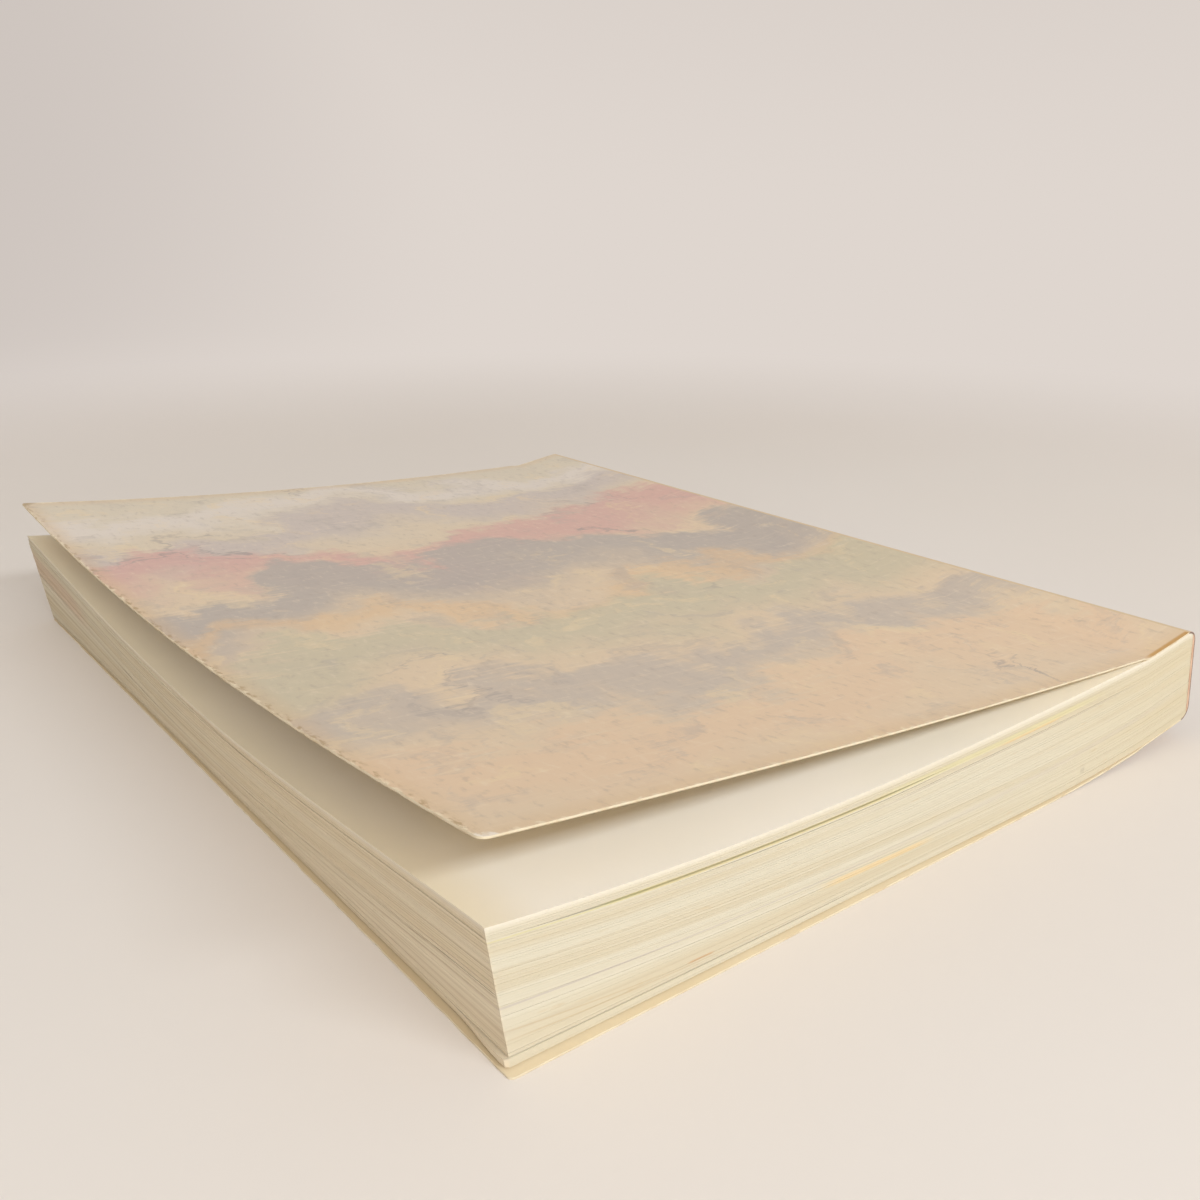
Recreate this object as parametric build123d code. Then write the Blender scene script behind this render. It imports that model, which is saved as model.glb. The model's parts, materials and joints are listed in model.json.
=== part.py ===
"""Paperback book lying on its back cover with the front cover standing ajar.

Millimetres. +X points to the spine, +Y to the head, +Z up. The origin is on the table
under the middle of the book.
"""
from build123d import *
import os
from math import asin, cos, radians, sin, tan

# Trimmed sheet, cover card and adhesive
trim_width = 215.0
trim_length = 279.4
card = 0.45
glue = 0.8

# Spine: it leans towards the fore edge and its lower edge stands off the table
spine_height = 25.6
spine_lift = 5.4
spine_lean = 8.4
spine_round = 3.5

# Side strips, glued to the outer leaves between the spine and the score lines
score_setback = 21.0
front_strip_fall = 3.0
back_strip_fall = 2.8

# Folds of the two covers: a raised bead of card with the fold's axis in it
fold_bead = 0.5
fold_stand = 0.35
fold_gap = 0.75
rest_gap = 0.3

# Back cover: the width of it that lies flat on the table
flat_width = 148.0

# Leaves at the fore edge: the block is swollen at its corners and thin between them,
# and the swelling levels off towards the corners
tail_height = 28.7
middle_height = 19.5
head_height = 30.1
level_off = 0.42
rise_power = 1.3
swell_power = 2.8

# How far the leaves stay inside the back cover, at the fore edge and at the two ends
tail_leaf_margin = 1.6
head_leaf_margin = 0.1
tail_margin = 2.3
head_margin = 0.5

# Front cover: how high its free edge stands above the fold at the tail, middle and head
lift_tail = 17.7
lift_middle = 7.9
lift_head = 12.7
# Share of that rise which is curvature, at the tail and at the head
bow_tail = 0.3
bow_head = 0.8

# Openings between bundles of leaves, and the last leaves, which stick out
top_bundle = 2.5
low_bundle_corner = 16.5
low_bundle_middle = 6.0
slit_height = 0.5
slit_depth = 2.5
slit_run = 118.0
last_bundle = 2.0
last_reach = 1.0

# Worn corners of the covers
corner_wear = 1.2

# Where the main lines of the section lie, seen from the tail
half_length = trim_length / 2
lean = tan(radians(spine_lean))
fore_x = -(trim_width - lean * spine_height) / 2
foot_x = fore_x + trim_width


def spine_plane(z, inset):
    """X of the spine's outer plane at height z, moved inwards square to the plane."""
    return foot_x - lean * (z - spine_lift) - inset / cos(radians(spine_lean))


low_z = spine_lift + card
high_z = spine_lift + spine_height - card
low_corner = (spine_plane(low_z, card), low_z)
high_corner = (spine_plane(high_z, card), high_z)
back_score = (low_corner[0] - score_setback, low_corner[1] - back_strip_fall)
front_score = (high_corner[0] - score_setback, high_corner[1] - front_strip_fall)

# The last leaf is flat, then curves up to the back score line on an arc
flat_x = fore_x + flat_width
floor_z = card + rest_gap
curl_width = back_score[0] - flat_x
curl_rise = back_score[1] - floor_z
curl_radius = (curl_width**2 + curl_rise**2) / (2 * curl_rise)
curl_centre = (flat_x, floor_z + curl_radius)
curl_angle = asin(curl_width / curl_radius)


def curl_point(radius, angle):
    """Point on an arc round the curl's centre, angle measured from straight down."""
    return (curl_centre[0] + radius * sin(angle), curl_centre[1] - radius * cos(angle))


# Fold axes, outside the strips
front_axis = (front_score[0], front_score[1] + card + fold_stand)
back_axis = (back_score[0], back_score[1] - card - fold_stand)
panel_width = trim_width - score_setback
edge_x = front_axis[0] - panel_width

stations = [-1.0, -0.5, 0.0, 0.5, 1.0]


def along(station):
    """The plane across the book at a station from -1 at the tail to 1 at the head."""
    return Plane.XZ.offset(-station * half_length)


def prism(section):
    """A section carried along the whole length of the book."""
    return extrude(Plane.XZ * section, amount=half_length, both=True)


def edge_height(station):
    """Height of the first leaf at the fore edge, which rises to both corners."""
    slope = (head_height - tail_height) / 2
    swell = (head_height + tail_height) / 2 - middle_height
    shape = (1 + level_off) * station**2 - level_off * station**4
    return middle_height + slope * station + swell * shape


def fore_edge_x(z, station):
    """X of the leaning fore edge at height z."""
    margin = tail_leaf_margin + (head_leaf_margin - tail_leaf_margin) * (1 + station) / 2
    return fore_x + margin - lean * (z - floor_z)


def leaf_height(x, station):
    """Height of the first leaf between the fore edge and the front score line."""
    top = edge_height(station)
    start = fore_edge_x(top, station)
    share = max(0.0, (x - start) / (front_score[0] - start))
    level = middle_height + (front_score[1] - middle_height) * share**rise_power
    return level + (top - middle_height) * (1 - share) ** swell_power


def slit_points(z, station):
    """The notch that an opening between two bundles makes in the fore edge."""
    half = slit_height / 2 * (0.4 + 0.6 * station**2)
    return [
        (fore_edge_x(z - half, station), z - half),
        (fore_edge_x(z, station) + slit_depth, z),
        (fore_edge_x(z + half, station), z + half),
    ]


def leaves_section(station):
    """Outline of the leaves between the fore edge and the score lines."""
    top = edge_height(station)
    low_bundle = low_bundle_middle + (low_bundle_corner - low_bundle_middle) * station**2
    shares = [0.12, 0.28, 0.5, 0.75]
    start = fore_edge_x(top, station)
    inner = [start + share * (front_score[0] - start) for share in shares]
    crest = [(x, leaf_height(x, station)) for x in inner]
    curl_middle = curl_point(curl_radius, curl_angle / 2)
    ledge = floor_z + last_bundle
    first = (fore_edge_x(floor_z, station) - last_reach, floor_z)
    fore = [
        *reversed(slit_points(top - top_bundle, station)),
        *reversed(slit_points(low_bundle, station)),
        (fore_edge_x(ledge, station), ledge),
        (fore_edge_x(ledge, station) - last_reach, ledge),
        first,
    ]
    outline = [
        Line(first, (flat_x, floor_z)),
        ThreePointArc((flat_x, floor_z), curl_middle, back_score),
        Line(back_score, front_score),
        Spline(front_score, *reversed(crest), (start, top)),
        Polyline((start, top), *fore),
    ]
    return along(station) * make_face(outline)


def cover_rise(share, station):
    """Rise of the front cover over its fold, share being 0 at the fold and 1 at the edge."""
    slope = (lift_head - lift_tail) / 2
    bend = (lift_head + lift_tail) / 2 - lift_middle
    lift = lift_middle + slope * station + bend * station**2
    bow = (bow_tail + bow_head) / 2 + (bow_head - bow_tail) / 2 * station
    return lift * ((1 - bow) * share + bow * share**2)


def front_section(station):
    """Outline of the front cover from its fold to its free edge."""
    base = front_score[1] + rest_gap
    shares = [0.0, 0.2, 0.4, 0.6, 0.8, 1.0]
    under = [
        (front_axis[0] - share * panel_width, base + cover_rise(share, station))
        for share in shares
    ]
    over = [(x, z + card) for x, z in under]
    outline = [
        Spline(*under),
        Line(under[-1], over[-1]),
        Spline(*reversed(over)),
        Line(over[0], under[0]),
    ]
    return along(station) * make_face(outline)


def worn_corner(x, side):
    """What is worn off a cover's corner at x, on the tail (-1) or head (1) side."""
    y = side * half_length
    square = Pos(x + corner_wear / 2, y - side * corner_wear / 2)
    square = square * Rectangle(corner_wear, corner_wear)
    kept = Pos(x + corner_wear, y - side * corner_wear) * Circle(corner_wear)
    return extrude(square - kept, amount=2 * head_height)


# Leaves and adhesive between the strips, as one rounded section behind the score lines
reach = 2 * fold_gap
front_slope = front_strip_fall / score_setback
back_slope = back_strip_fall / score_setback
front_start = (front_score[0] - reach, front_score[1] - reach * front_slope)
back_start = (back_score[0] - reach, back_score[1] - reach * back_slope)
core_round = spine_round - card
core_edge = FilletPolyline(
    front_start, high_corner, low_corner, back_start, radius=core_round
)
core = make_face([core_edge, Line(back_start, front_start)])

tall = 2 * head_height
front_of_scores = Polygon(
    (fore_x, -tall),
    (back_score[0], -tall),
    back_score,
    front_score,
    (front_score[0], tall),
    (fore_x, tall),
    align=None,
)
glue_side = Polygon(
    (spine_plane(-tall, card + glue), -tall),
    (foot_x + tall, -tall),
    (foot_x + tall, tall),
    (spine_plane(tall, card + glue), tall),
    align=None,
)

# Text block: wavy leaves up to the score lines, then the straight part at the spine
leaves = loft([leaves_section(station) for station in stations])
bound_part = prism(core - front_of_scores - glue_side)
block = leaves + bound_part

# The leaves draw back from the ends of the cover towards the fore edge
for side, margin in ((-1, tail_margin), (1, head_margin)):
    end_y = side * half_length
    beyond = Polygon(
        (fore_x - tall, end_y - side * margin * (1 + tall / trim_width)),
        (low_corner[0], end_y),
        (low_corner[0], end_y + side * tall),
        (fore_x - tall, end_y + side * tall),
        align=None,
    )
    block -= extrude(beyond, amount=tall)

# The slit under the top bundle goes on along the tail
slit_top = edge_height(-1) - top_bundle
slit_start = fore_edge_x(slit_top, -1) - last_reach
slit_end = slit_start + slit_run
slit_middle = (slit_start + slit_end) / 2
sag = leaf_height(slit_middle, -1) - top_bundle
slit = make_face(
    [
        Spline(
            (slit_start, slit_top - slit_height / 2),
            (slit_middle, sag - slit_height),
            (slit_end, leaf_height(slit_end, -1) - top_bundle),
        ),
        Spline(
            (slit_end, leaf_height(slit_end, -1) - top_bundle),
            (slit_middle, sag),
            (slit_start, slit_top + slit_height / 2),
        ),
        Line(
            (slit_start, slit_top + slit_height / 2),
            (slit_start, slit_top - slit_height / 2),
        ),
    ]
)
slit_cut = extrude(along(-1) * slit, amount=-(tail_margin + slit_depth))
text_block = block - slit_cut

# Adhesive on the backs of the leaves
binding_glue = prism(core & glue_side)

# Cover card round the spine, with its two glued strips
cover_outer = offset(core, amount=card, kind=Kind.ARC)
open_side = Polygon(
    (fore_x, -tall),
    (back_score[0] + fold_gap, -tall),
    (back_score[0] + fold_gap, low_z),
    (front_score[0] + fold_gap, high_z - front_strip_fall - spine_round),
    (front_score[0] + fold_gap, tall),
    (fore_x, tall),
    align=None,
)
cover_spine = prism(cover_outer - core - open_side)

# Front cover: a curved and twisted panel with the bead of its fold
front_bead = Pos(*front_axis) * Circle(fold_bead)
front_cover = loft([front_section(station) for station in stations]) + prism(front_bead)

# Back cover: flat on the table, then curved up to its fold
outer_radius = curl_radius + card + rest_gap
inner_radius = curl_radius + rest_gap
back_outline = [
    Line((fore_x, 0), (flat_x, 0)),
    ThreePointArc(
        (flat_x, 0),
        curl_point(outer_radius, curl_angle / 2),
        curl_point(outer_radius, curl_angle),
    ),
    Line(curl_point(outer_radius, curl_angle), curl_point(inner_radius, curl_angle)),
    ThreePointArc(
        curl_point(inner_radius, curl_angle),
        curl_point(inner_radius, curl_angle / 2),
        (flat_x, card),
    ),
    Line((flat_x, card), (fore_x, card)),
    Line((fore_x, card), (fore_x, 0)),
]
back_bead = Pos(*back_axis) * Circle(fold_bead)
back_cover = prism(make_face(back_outline)) + prism(back_bead)

for side in (-1, 1):
    front_cover -= worn_corner(edge_x, side)
    back_cover -= worn_corner(fore_x, side)

parts = {
    "text_block": text_block,
    "binding_glue": binding_glue,
    "cover_spine": cover_spine,
    "front_cover": front_cover,
    "back_cover": back_cover,
}
os.makedirs("parts", exist_ok=True)
for name, part in parts.items():
    export_step(part, f"parts/{name}.step")
    box = part.bounding_box()
    print(name, len(part.solids()), round(part.volume), box.min, box.max)
print("front fold axis", front_axis)
print("back fold axis", back_axis)
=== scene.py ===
# %% [markdown]
# # A thick paperback, dressed around its fixed frame
#
# The book lies on its back cover with its front cover standing a little open. The frame is
# the engineering model of it: five solids at real size, on three bodies that are joined at
# the two folds of the cover. Here they get their looks. The pages become several dozen
# bundles of leaves with worn, stained edges, and the cover becomes one thin printed card, in
# three lengths that meet end to end.
#
# Every surface is a function of two numbers, worked out with numpy as whole arrays. Sizes
# are in millimetres until a mesh is made.

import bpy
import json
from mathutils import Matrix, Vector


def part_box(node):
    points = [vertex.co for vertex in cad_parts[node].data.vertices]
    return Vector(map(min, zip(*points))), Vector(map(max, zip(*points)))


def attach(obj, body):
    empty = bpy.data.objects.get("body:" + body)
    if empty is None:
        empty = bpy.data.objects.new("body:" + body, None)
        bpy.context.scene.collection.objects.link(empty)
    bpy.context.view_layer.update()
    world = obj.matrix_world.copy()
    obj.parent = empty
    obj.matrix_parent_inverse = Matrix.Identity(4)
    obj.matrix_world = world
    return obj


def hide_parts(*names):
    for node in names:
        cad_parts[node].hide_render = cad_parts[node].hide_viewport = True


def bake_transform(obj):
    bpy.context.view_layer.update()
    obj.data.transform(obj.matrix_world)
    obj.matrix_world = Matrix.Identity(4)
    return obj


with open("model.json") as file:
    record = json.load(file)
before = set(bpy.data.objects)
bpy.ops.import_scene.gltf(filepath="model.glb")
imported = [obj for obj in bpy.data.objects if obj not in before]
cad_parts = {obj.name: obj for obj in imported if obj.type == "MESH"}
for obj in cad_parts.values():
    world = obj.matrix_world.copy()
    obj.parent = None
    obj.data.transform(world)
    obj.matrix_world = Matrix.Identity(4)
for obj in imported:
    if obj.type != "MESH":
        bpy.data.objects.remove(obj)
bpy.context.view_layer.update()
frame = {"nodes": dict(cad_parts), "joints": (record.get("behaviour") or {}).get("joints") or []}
print("pieces in the frame:", sorted(frame["nodes"]))

# %% What else is needed
import json
import math

import bmesh
import bpy
import numpy as np

mm = 0.001
scene = bpy.context.scene
rng = np.random.default_rng(1984)


def box_mm(node):
    """Lowest and highest corner of a piece of the frame, in millimetres."""
    low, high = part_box(node)
    return np.array(low) / mm, np.array(high) / mm


# %% [markdown]
# ## Sizes
#
# Most sizes are read from the frame. The few that a box can't give are the binder's own: how
# thick the card is, how far the spine leans and how wide the strips are that are glued to
# the first and the last leaf.

# %% Sizes of the book
card = 0.45
glue = 0.8
spine_lean = math.radians(8.4)
spine_round = 3.05
strip_width = 21.0
front_strip_fall = 3.0
back_strip_fall = 2.8
flat_width = 148.0
cover_gap = 0.3
hinge_below_card = 0.35

back_low, back_high = box_mm("back_cover")
leaves_low, _ = box_mm("text_block")
front_low, _ = box_mm("front_cover")
hinge = {joint["name"]: np.array(joint["pos_m"]) / mm for joint in frame["joints"]}
front_fold = hinge["front_cover_hinge"]
back_fold = hinge["back_cover_hinge"]

half_length = back_high[1]
fore_x = back_low[0]
lean = math.tan(spine_lean)
floor_z = leaves_low[2]
front_score = np.array([front_fold[0], front_low[2] - cover_gap])
back_score = np.array([back_fold[0], back_fold[2] + card + hinge_below_card])
high_corner = front_score + [strip_width, front_strip_fall]
low_corner = back_score + [strip_width, back_strip_fall]
trim_width = low_corner[0] + card / math.cos(spine_lean) + lean * card - fore_x
print("trimmed size", round(trim_width, 1), "x", round(2 * half_length, 1), "mm")
print("score lines at", front_score.round(2), back_score.round(2))

# %% [markdown]
# ## The camera
#
# The photo was taken close by, low over the near tail corner. Its straight edges fix the
# lens and the place of the camera, and a tilt of a twelfth of a degree.

# %% Camera
camera_place = (-0.1893, -0.2716, 0.1349)
camera_down = 18.731
camera_aside = 37.632
camera_roll = -0.079
lens_in_pixels = 1181.9
photo_pixels = 1200

camera_data = bpy.data.cameras.new("camera")
camera_data.sensor_width = 36.0
camera_data.lens = camera_data.sensor_width * lens_in_pixels / photo_pixels
camera = bpy.data.objects.new("camera", camera_data)
camera.location = camera_place
camera.rotation_euler = (
    math.radians(90 - camera_down),
    math.radians(camera_roll),
    math.radians(-camera_aside),
)
scene.collection.objects.link(camera)
scene.camera = camera
print("lens", round(camera_data.lens, 2), "mm")

# %% [markdown]
# ## Putting arrays into meshes
#
# A grid of points is an array of rows by columns by three. Its quads need only the numbers
# of their corners, which is index arithmetic. One function makes every mesh, so that all are
# shaded alike. The place attribute holds, for each point, where it is on the flat sheet:
# patterns follow it when a cover bends.


# %% Grids and meshes
def grid_quads(numbers):
    """Corner numbers of the quads between neighbouring rows and columns of an index grid."""
    corners = (numbers[:-1, :-1], numbers[:-1, 1:], numbers[1:, 1:], numbers[1:, :-1])
    return np.stack(corners, axis=-1).reshape(-1, 4)


def numbered(grid, start=0):
    """A number for each point of a grid, row by row from start."""
    return start + np.arange(grid[..., 0].size).reshape(grid.shape[:2])


def flattened(*grids):
    """The points of all these grids in one list."""
    return np.concatenate([grid.reshape(-1, 3) for grid in grids])


def make_piece(name, points, number_grids, place, finishes, worn=(0,), crease=40.0):
    """A mesh object from points in millimetres and grids of their numbers. worn says which
    finish each grid wears. Edges that turn by more than crease are sharp."""
    groups = [grid_quads(numbers) for numbers in number_grids]
    quads = np.concatenate(groups)
    mesh = bpy.data.meshes.new(name)
    mesh.from_pydata((points * mm).tolist(), [], quads.tolist())
    attribute = mesh.attributes.new("place", "FLOAT_VECTOR", "POINT")
    attribute.data.foreach_set("vector", place.astype(np.float32).ravel())
    for finish in finishes:
        mesh.materials.append(finish)
    finish_numbers = np.repeat(worn, [len(group) for group in groups]).astype(np.int32)
    mesh.polygons.foreach_set("material_index", finish_numbers)
    merge_doubles(mesh)
    mesh.polygons.foreach_set("use_smooth", np.ones(len(mesh.polygons), bool))
    mesh.set_sharp_from_angle(angle=math.radians(crease))
    piece = bpy.data.objects.new(name, mesh)
    scene.collection.objects.link(piece)
    triangles = sum(len(face.vertices) - 2 for face in mesh.polygons)
    print(name, len(mesh.vertices), "points,", triangles, "triangles")
    return piece


def merge_doubles(mesh, within=0.002):
    """Joins points within so many millimetres of each other, and turns all faces outwards."""
    work = bmesh.new()
    work.from_mesh(mesh)
    bmesh.ops.remove_doubles(work, verts=work.verts, dist=within * mm)
    bmesh.ops.recalc_face_normals(work, faces=work.faces)
    work.to_mesh(mesh)
    work.free()


# %% Soft steps, wandering lines and graded spacing
def eased(t):
    """Three t squared less two t cubed, with t held between 0 and 1: a step with no corners."""
    t = np.clip(t, 0, 1)
    return t * t * (3 - 2 * t)


def wander(distance, wavelengths):
    """A line that strays by about 1: sine waves of these lengths with random phases."""
    total = np.zeros(np.shape(distance))
    for wavelength in wavelengths:
        phase = rng.uniform(0, 2 * np.pi)
        total = total + np.sin(2 * np.pi * distance / wavelength + phase)
    return total / math.sqrt(len(wavelengths))


def graded(length, step, finest):
    """Distances from 0 to length that are finest at both ends and grow by half to step."""
    growth = 1.5
    count = int(math.log(step / finest) / math.log(growth)) + 1
    rim = np.cumsum(finest * growth ** np.arange(count))
    middle = np.linspace(rim[-1], length - rim[-1], int((length - 2 * rim[-1]) / step) + 2)
    return np.concatenate([[0], rim[:-1], middle, length - rim[-2::-1], [length]])


print("spacing of a 60 mm run:", graded(60, 4, 0.5).round(1))

# %% [markdown]
# ## Lines of the section
#
# Seen from the tail, the book has two lines that everything else hangs on: the underside
# of the last leaf and the top of the first one. Both end at the rounded corners of the
# spine. The swelling of the damp-waved corners is a separate term, because the photo shows
# it all in the lowest third of the leaves.

# %% The first and the last leaf
flat_x = fore_x + flat_width
curl_rise = back_score[1] - floor_z
arc_reach = 60.0
curl_radius = ((back_score[0] - flat_x) ** 2 + curl_rise**2) / (2 * curl_rise)
middle_height, tail_height, head_height = 19.5, 28.7, 30.1
level_off, level_power, swell_power = 0.42, 1.3, 2.8
tries = 5
leaf_margins = np.array([1.6, 0.1])
end_margins = np.array([2.3, 0.5])
slip_room = 0.06


def from_tail(pair, station):
    """A number that goes straight from one at the tail to the other at the head."""
    return pair[0] + (pair[1] - pair[0]) * (1 + station) / 2


def strip_line(score, fall, x):
    """Height of a glued strip, which falls straight from the spine's corner to its score line."""
    return score[1] + (x - score[0]) * fall / strip_width


def last_leaf(x):
    """Underside of the leaves: flat on the table, then an arc, then the slope of the strip."""
    into = np.clip(x - flat_x, 0, arc_reach)
    arc = floor_z + curl_radius - np.sqrt(curl_radius**2 - into**2)
    return np.where(x < back_score[0], arc, strip_line(back_score, back_strip_fall, x))


def corner_swell(station):
    """How far the first leaf rises at the fore edge over its middle: a slope, a square and less
    a fourth power along the book."""
    slope = (head_height - tail_height) / 2
    swell = (head_height + tail_height) / 2 - middle_height
    return slope * station + swell * ((1 + level_off) * station**2 - level_off * station**4)


def leaves_over(base_x, station):
    """Underside, thickness without the swelling, and swelling, over a place on the last leaf.

    The thickness without swelling rises from the fore edge to the score line by a power of the
    share of the way, and the swelling falls by a higher power of what is left of it. The block
    leans, so the top lies nearer to the fore edge than the foot: a thickness is tried, the
    height is read where its top would be, and that is tried next."""
    bottom = last_leaf(base_x)
    most = corner_swell(station)
    start_x = fore_x + from_tail(leaf_margins, station) - lean * (middle_height + most - floor_z)
    thickness = front_score[1] - bottom
    for _ in range(tries):
        x = base_x - lean * thickness
        share = np.clip((x - start_x) / (front_score[0] - start_x), 0, 1)
        level = middle_height + (front_score[1] - middle_height) * share**level_power
        strip = strip_line(front_score, front_strip_fall, x)
        plain = np.where(x < front_score[0], level, strip) - bottom
        swell = most * (1 - share) ** swell_power
        thickness = plain + swell
    return bottom, plain, swell


print("arc of the last leaf:", round(curl_radius), "mm radius")

# %% Rounded corners of the spine, cut into the block
def corner_drop(x):
    """How far the rounded corner stays inside its two straight lines: a quarter circle's drop."""
    into = np.clip(spine_round - (low_corner[0] - x), 0, spine_round)
    return spine_round - np.sqrt(np.clip(spine_round**2 - into**2, 0, None))


# %% [markdown]
# ## The block of leaves
#
# Four hundred sheets are too many to build one by one. From an arm's length the eye sees
# bundles, a few leaves thick, that slid a little past each other.
# So the edge faces are one closed ring of columns, with four rows for each bundle: two for
# its edge and two at the bottom of the groove over it. Where the leaves fan open, the two
# groove rows move apart and go deep, and a real slit appears.

# %% Heights of the bundles
top_gap, under_top, second_gap = 0.875, 0.845, 0.80
low_gap, under_low, foot_gap, last_bundle = 0.30, 0.285, 0.20, 0.06
anchors = [0, last_bundle, foot_gap, under_low, low_gap, second_gap, under_top, top_gap, 1]
between = [2, 7, 4, 1, 21, 2, 1, 6]


def bundle_edges():
    """Layer numbers from 0 to 1 between bundles: even steps between the anchors, jittered."""
    runs = []
    for low, high, count in zip(anchors[:-1], anchors[1:], between):
        run = np.linspace(low, high, count + 1)[:-1]
        run[1:] += rng.uniform(-0.3, 0.3, count - 1) * (high - low) / count
        runs.append(run)
    return np.concatenate([*runs, [1.0]])


layers = bundle_edges()
bundle_count = len(layers) - 1
print(bundle_count, "bundles of leaves")

# %% Columns round the block
across = graded(1.0, 0.013, 0.004)
along = graded(1.0, 0.015, 0.004)
sides = [(1 - across, 0), (0, along), (across, 1), (1, 1 - along)]
sides = [np.stack(np.broadcast_arrays(a, b), axis=1)[:-1] for a, b in sides]
ring = np.concatenate(sides)
side_sizes = np.array([trim_width, 2 * half_length])
ring_steps = np.linalg.norm(np.diff(ring, axis=0) * side_sizes, axis=1)
ring_run = np.concatenate([[0], np.cumsum(ring_steps)])
near_corner_run = ring_run[len(sides[0])]
far_corner_run = ring_run[len(sides[0]) + len(sides[1])]
corner_turn = 1.5
on_tail = eased(1 - (ring_run - near_corner_run) / corner_turn)
on_head = eased((ring_run - far_corner_run) / corner_turn)
on_fore = (1 - on_tail) * (1 - on_head)
tail_reach = near_corner_run - ring_run
print(len(ring), "columns, near corner at", round(near_corner_run, 1), "mm")


# %% From a place in the block to a point
def leaf_points(a, b, layer, reach):
    """Points of the block: a runs from the fore edge to the spine, b from tail to head, layer
    from the last leaf to the first, and reach moves an edge outwards by so many millimetres."""
    station = 2 * b - 1
    leaf_start = fore_x + from_tail(leaf_margins, station)
    spine_end = low_corner[0] - glue / math.cos(spine_lean)
    base_x = leaf_start + a * (spine_end - leaf_start)
    bottom, plain, swell = leaves_over(base_x, station)
    drop = corner_drop(base_x)
    spread = eased(layer / low_gap)
    z = bottom + plain * layer + swell * spread + drop * (1 - 2 * layer)
    x = base_x - lean * (z - bottom) - reach * (1 - a)
    ends = half_length - slip_room - end_margins * (1 - a)[..., None]
    y = b * (ends[..., 1] + reach) - (1 - b) * (ends[..., 0] + reach)
    return np.stack([x, y, z], axis=-1)


corner = leaf_points(np.array(0.0), np.array(0.0), 1.0, 0.0)
print("near top corner of the leaves:", corner.round(2))

# %% [markdown]
# ## Grooves and slits between the bundles
#
# Between any two bundles there is a hair of shadow, and at a few places the leaves stand
# apart: under the top bundle along the tail, a little lower nearer to the spine, and in
# pairs at the swollen corners of the fore edge. Each is an opening that rises and falls
# along the ring, so it is an array of bundles by columns.

# %% How far the bundles stand apart, and how deep one sees between them
inner_layers = layers[1:-1]


def at_layer(layer):
    """Row number of the boundary at this layer number."""
    return int(np.argmin(np.abs(inner_layers - layer)))


def hump(run, start, end, ramp):
    """1 between start and end of a run, and eased down to 0 over ramp outside them."""
    return eased((run - start) / ramp + 1) * eased((end - run) / ramp + 1)


least_gap, gap_jitter = 0.02, 0.015
least_groove, groove_jitter = 0.06, 0.08
slit_groove, full_slit = 2.5, 0.4
one_each = (len(inner_layers), 1)
opening = least_gap + gap_jitter * rng.random(one_each) + 0 * ring_run
groove = least_groove + groove_jitter * rng.random(one_each) + 0 * ring_run
corner_fan = (2 * ring[:, 1] - 1) ** 2
slits = [
    (top_gap, 0.42 * on_tail * hump(tail_reach, 30, 90, 30) + 0.06 * on_fore + 0.3 * on_head),
    (under_top, 0.16 * on_tail * hump(tail_reach, 58, 100, 24)),
    (second_gap, 0.10 * on_tail * hump(tail_reach, 112, 176, 14) + 0.10 * on_head),
    (low_gap, on_fore * (0.04 + 0.16 * corner_fan)),
    (under_low, on_fore * (0.02 + 0.12 * corner_fan)),
    (foot_gap, 0.05 * on_tail * hump(tail_reach, 0, 70, 20)),
    (last_bundle, 0.06 * on_tail * hump(tail_reach, 0, 50, 60) + 0.10 * on_fore),
]
for layer, height in slits:
    opening[at_layer(layer)] += height
    groove[at_layer(layer)] += slit_groove * eased(height / full_slit)
print("widest slit", round(float(opening.max()), 2), "mm")


def parted(layer, row_layer, height, above, up_share=0.2):
    """Shift of a layer by the slit at row_layer: a fifth of its height goes to what is above."""
    up = up_share * height * (1 - layer) / (1 - row_layer)
    down = (up_share - 1) * height * layer / row_layer
    return np.where(above, up, down)


# %% Small slips of the bundles
def slips(rows, step=0.025, swing=0.03, wavelength=97):
    """Outward slips of the bundle edges: each strays a little from the one under it."""
    drift = np.cumsum(rng.normal(0, step, rows))
    drift -= np.convolve(np.pad(drift, 4, mode="edge"), np.ones(9) / 9, mode="valid")
    phases = rng.uniform(0, 2 * np.pi, (rows, 1))
    waves = swing * np.sin(2 * np.pi * ring_run / wavelength + phases)
    return drift[:, None] + waves * (0.4 + 0.6 * on_fore)


slip = slips(bundle_count)
last_rows = layers[:-1] < last_bundle
out_at_tail = 0.25 * on_tail * hump(tail_reach, 0, 50, 60)
out_at_fore = on_fore * hump(ring_run, near_corner_run, near_corner_run + 3, 14)
slip[last_rows] += out_at_tail + out_at_fore
slip[layers[:-1] >= top_gap] -= 0.15 * on_fore
print("slips from", round(float(slip.min()), 2), "to", round(float(slip.max()), 2), "mm")

# %% The rows of the ring
def stacked_rows():
    """Layer, reach and number of slits below, of all rows from the table up."""
    rows = []
    for k in range(bundle_count):
        rows += [(layers[k], slip[k], k), (layers[k + 1], slip[k], k)]
        if k < bundle_count - 1:
            depth = np.minimum(slip[k], slip[k + 1]) - groove[k]
            rows += [(layers[k + 1], depth, k), (layers[k + 1], depth, k + 1)]
    layer_rows, reach_rows, slits_below = (np.array(column) for column in zip(*rows))
    return layer_rows[:, None], reach_rows, slits_below[:, None]


layer_rows, reach_rows, slits_below = stacked_rows()
side_points = leaf_points(ring[:, 0], ring[:, 1], layer_rows, reach_rows)
for k, (row_layer, height) in enumerate(zip(inner_layers, opening)):
    side_points[..., 2] += parted(layer_rows, row_layer, height, slits_below > k)
print("rows of the ring:", len(side_points))

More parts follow.
